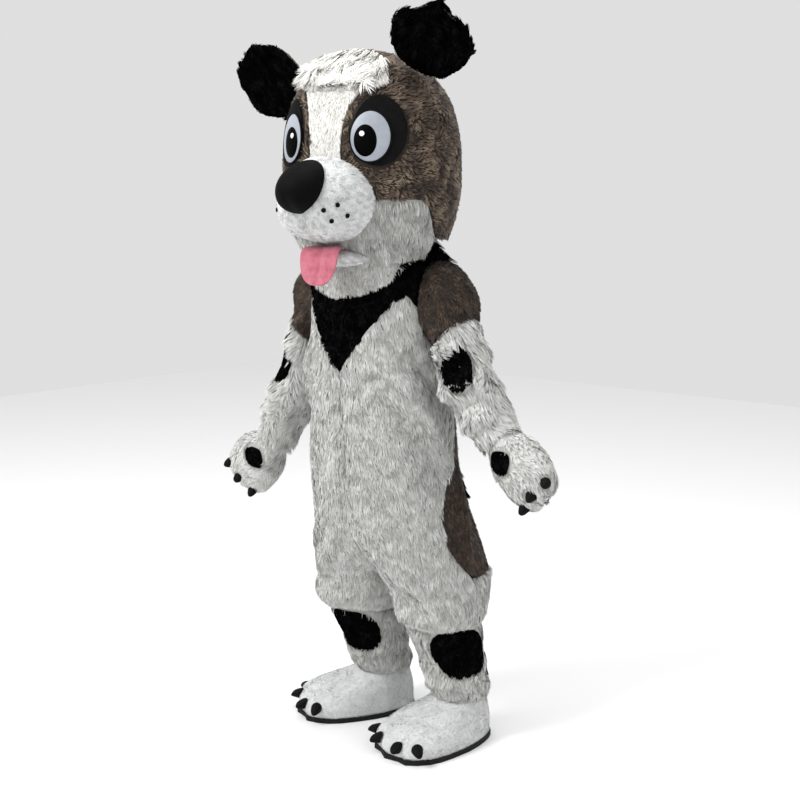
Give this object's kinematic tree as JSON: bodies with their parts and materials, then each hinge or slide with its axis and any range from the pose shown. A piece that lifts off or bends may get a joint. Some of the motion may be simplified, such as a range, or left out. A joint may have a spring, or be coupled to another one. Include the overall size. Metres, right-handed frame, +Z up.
{
  "type": "dog mascot costume",
  "caption": "Plush dog mascot costume in its worn shape: hollow suit with sleeves, paws, boots and tail, and a separate hollow head with muzzle and tongue.",
  "frame": {"origin": "between the wearer's shoulders at the base of the neck, where the wearer holds the suit up", "axes": "+Z up, -Y towards the costume's front, +X towards the wearer's left"},
  "size_m": [1.1098, 0.7267, 1.8707],
  "materials": {
    "white_plush": "long-pile fake fur, white",
    "brown_plush": "short fake fur, dark brown",
    "black_plush": "long-pile fake fur, black",
    "black_felt": "felt and velvet, black",
    "black_vinyl": "stuffed velvet claw, black",
    "pink_plush": "short velvet, pink",
    "eye_white": "matt moulded eye",
    "sole_foam": "black foam rubber",
    "zip_tape": "black zip tape"
  },
  "bodies": {
    "root": {"front_left": "white_plush", "back_left": "brown_plush", "back_leg_left": "white_plush", "yoke_left": "black_plush", "sleeve_cap_left": "brown_plush", "sleeve_left": "white_plush", "elbow_patch_left": "black_plush", "calf_left": "white_plush", "paw_left": "white_plush", "paw_patch_left": "black_plush", "paw_claw_left_1": "black_vinyl", "paw_claw_left_2": "black_vinyl", "paw_claw_left_3": "black_vinyl", "foot_left": "white_plush", "sole_left": "sole_foam", "foot_claw_left_1": "black_vinyl", "foot_claw_left_2": "black_vinyl", "foot_claw_left_3": "black_vinyl", "foot_claw_left_4": "black_vinyl", "ear_left": "black_plush", "front_right": "white_plush", "back_right": "brown_plush", "back_leg_right": "white_plush", "yoke_right": "black_plush", "sleeve_cap_right": "brown_plush", "sleeve_right": "white_plush", "elbow_patch_right": "black_plush", "calf_right": "white_plush", "paw_right": "white_plush", "paw_patch_right": "black_plush", "paw_claw_right_1": "black_vinyl", "paw_claw_right_2": "black_vinyl", "paw_claw_right_3": "black_vinyl", "foot_right": "white_plush", "sole_right": "sole_foam", "foot_claw_right_1": "black_vinyl", "foot_claw_right_2": "black_vinyl", "foot_claw_right_3": "black_vinyl", "foot_claw_right_4": "black_vinyl", "ear_right": "black_plush", "bib": "black_plush", "zip": "zip_tape", "knee_patch_left": "black_plush", "calf_patch_left": "black_plush", "knee_patch_right": "black_plush", "calf_patch_right": "black_plush", "tail": "black_plush", "head_shell": "brown_plush", "blaze": "white_plush", "ruff": "white_plush", "muzzle": "white_plush", "jaw": "white_plush", "nose": "black_felt", "eye_patch_left": "black_felt", "eye_left": "eye_white", "eye_patch_right": "black_felt", "eye_right": "eye_white", "tongue": "pink_plush", "neck_skirt": "white_plush"}
  },
  "joints": []
}
